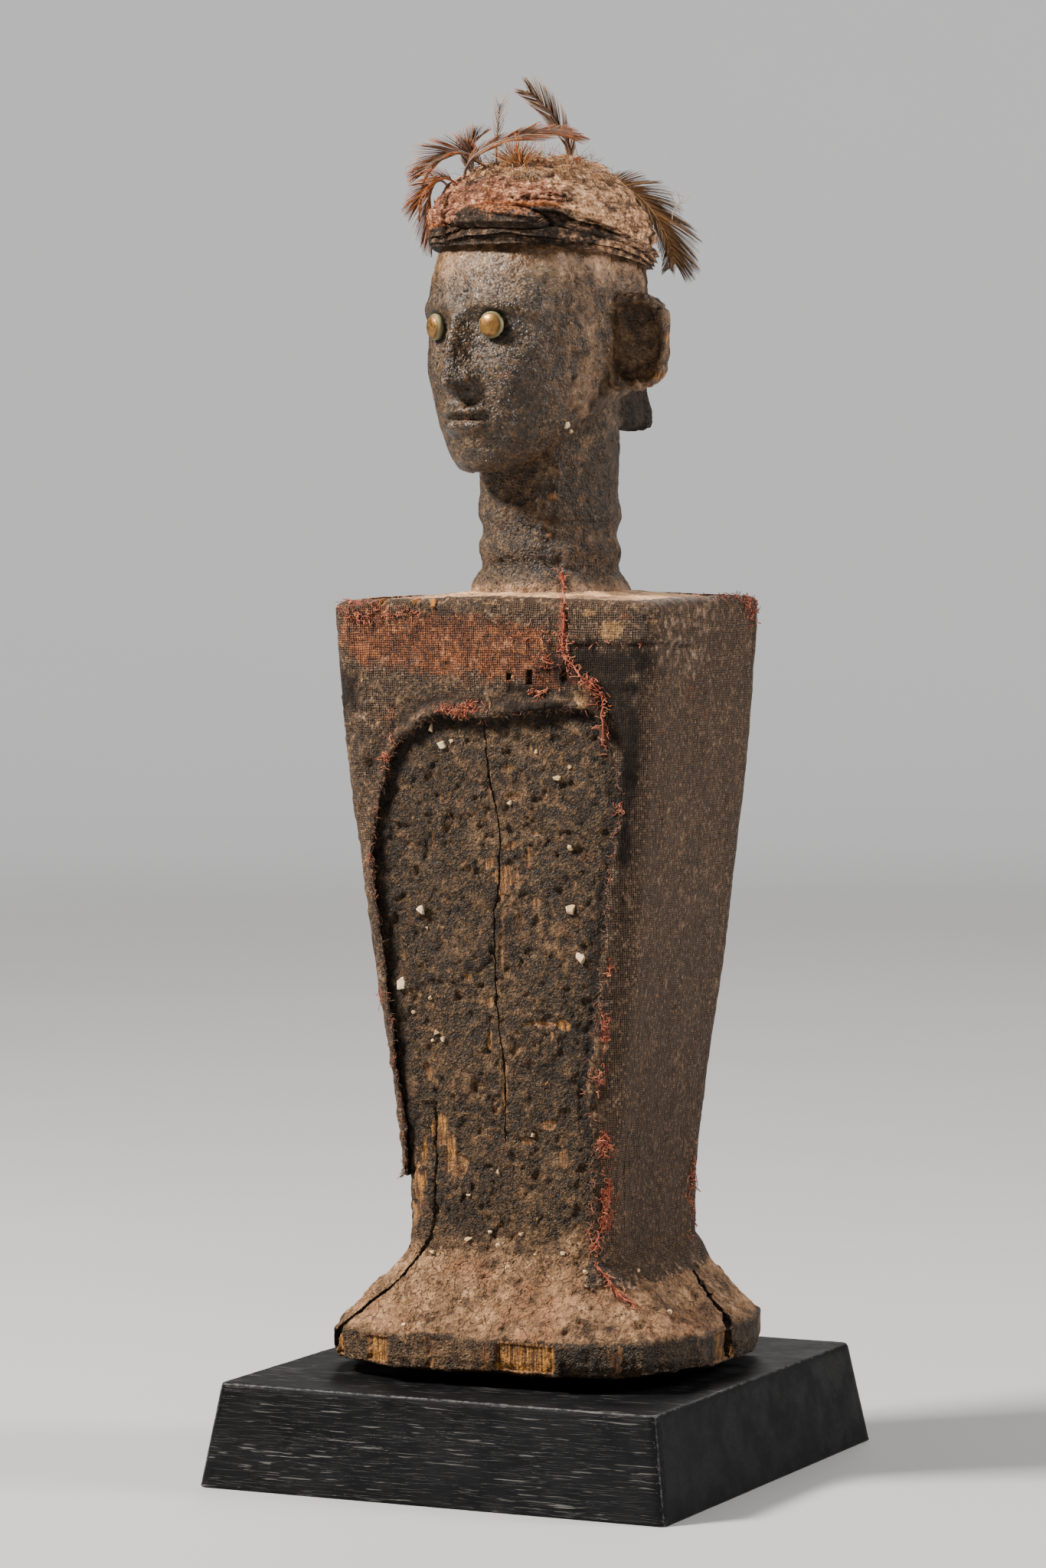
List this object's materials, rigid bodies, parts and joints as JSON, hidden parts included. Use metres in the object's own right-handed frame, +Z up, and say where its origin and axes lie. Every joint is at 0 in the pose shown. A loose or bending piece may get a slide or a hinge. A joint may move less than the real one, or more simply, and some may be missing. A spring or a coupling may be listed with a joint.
{
  "type": "bijago half figure",
  "caption": "Carved wooden half figure with a block body wrapped in torn cloth, flared foot, ringed neck, brass-eyed head and feathered cap, standing on a black wooden plinth.",
  "frame": {"origin": "centre of the plinth's underside", "axes": "+Z up, the body's front faces -Y, +X is the figure's own left side"},
  "size_m": [0.1926, 0.1926, 0.53],
  "materials": {
    "black_oak": "black-stained oak, satin, pale ray flecks",
    "carved_wood": "dark crusted patina over orange-brown wood",
    "cloth": "fine cotton weave, stiff with dark crust",
    "cap_crust": "wrapped cloth and fibre under a dry earthy crust",
    "brass": "domed tack heads with a dull brown patina",
    "feather": "brown and orange feathers with dark shafts",
    "red_wool": "matted red wool thread",
    "shell": "pale broken shell chips"
  },
  "bodies": {
    "root": {"plinth": "black_oak", "figure": "carved_wood", "cloth_wrap": "cloth", "cap": "cap_crust", "eye_tack_left": "brass", "eye_tack_right": "brass", "feather_crown_tall": "feather", "feather_crown_arched": "feather", "feather_left_drooping": "feather", "feather_left_low": "feather", "feather_left_hanging": "feather", "feather_left_upright": "feather", "feather_twig": "feather", "feather_right_broad": "feather", "feather_right_downy": "feather"}
  },
  "joints": []
}
